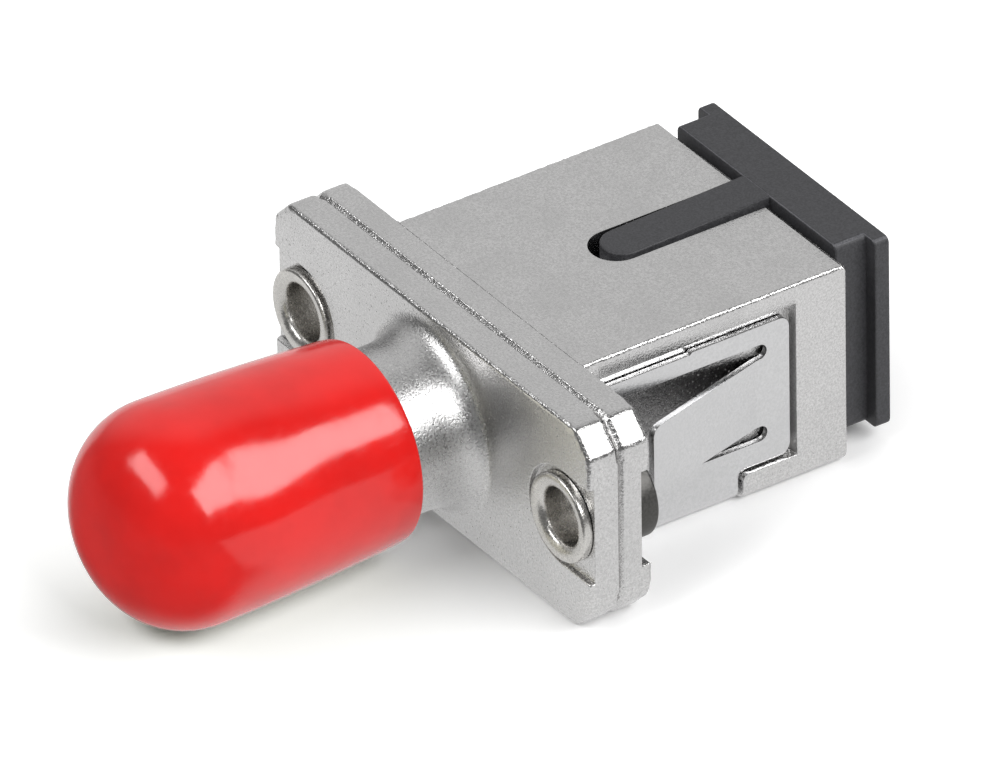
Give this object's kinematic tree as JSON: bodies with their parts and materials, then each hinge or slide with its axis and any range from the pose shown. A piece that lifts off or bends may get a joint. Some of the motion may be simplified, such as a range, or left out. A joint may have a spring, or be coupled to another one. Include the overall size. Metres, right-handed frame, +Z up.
{
  "type": "fibre optic hybrid adapter",
  "caption": "Metal flanged adapter that joins a bayonet fibre connector to a push-pull one, with a round soft cap on the barrel and a plug in the rectangular port.",
  "frame": {"origin": "under the middle of the adapter, at the height of its lowest point", "axes": "+Y along the optical axis towards the SC port, +Z up through the keyway, +X along the flange"},
  "size_m": [0.022, 0.0338, 0.0096],
  "materials": {
    "nickel_casting": "nickel-plated zinc casting, fine satin grain",
    "rivet_steel": "bright plated rivet",
    "turned_metal": "nickel-plated turned brass",
    "zirconia": "polished white ceramic",
    "black_insert": "moulded black plastic",
    "spring_steel": "smooth rolled spring sheet",
    "red_vinyl": "glossy red dip-moulded vinyl",
    "black_plug": "matte black plastic"
  },
  "bodies": {
    "adapter": {"st_body": "nickel_casting", "sc_housing": "nickel_casting", "eyelet_left": "rivet_steel", "eyelet_right": "rivet_steel", "st_sleeve_holder": "turned_metal", "split_sleeve": "zirconia", "sc_insert": "black_insert", "mounting_clip": "spring_steel"},
    "dust_cap": {"st_dust_cap": "red_vinyl"},
    "dust_plug": {"sc_dust_plug": "black_plug"},
    "tongue_left": {"clip_tongue_left": "spring_steel"},
    "tongue_right": {"clip_tongue_right": "spring_steel"},
    "hook_left": {"connector_hook_left": "black_insert"},
    "hook_right": {"connector_hook_right": "black_insert"}
  },
  "joints": [
    {"name": "cap_pull", "type": "slide", "parent": "adapter", "child": "dust_cap", "axis": [0, -1, 0], "range_m": [0, 0.012]},
    {"name": "plug_pull", "type": "slide", "parent": "adapter", "child": "dust_plug", "axis": [0, 1, 0], "range_m": [0, 0.012]},
    {"name": "tongue_left_flex", "type": "hinge", "parent": "adapter", "child": "tongue_left", "pos_m": [-0.00614, 0.01044, 0.0047], "axis": [0, 0, 1], "range_deg": [0, 14], "stiffness_Nm_per_rad": 0.2},
    {"name": "tongue_right_flex", "type": "hinge", "parent": "adapter", "child": "tongue_right", "pos_m": [0.00614, 0.01044, 0.0047], "axis": [0, 0, -1], "range_deg": [0, 14], "stiffness_Nm_per_rad": 0.2},
    {"name": "hook_left_flex", "type": "hinge", "parent": "adapter", "child": "hook_left", "pos_m": [-0.0039, 0.00207, 0.0047], "axis": [0, 0, 1], "range_deg": [0, 5], "stiffness_Nm_per_rad": 0.15},
    {"name": "hook_right_flex", "type": "hinge", "parent": "adapter", "child": "hook_right", "pos_m": [0.0039, 0.00207, 0.0047], "axis": [0, 0, -1], "range_deg": [0, 5], "stiffness_Nm_per_rad": 0.15}
  ]
}
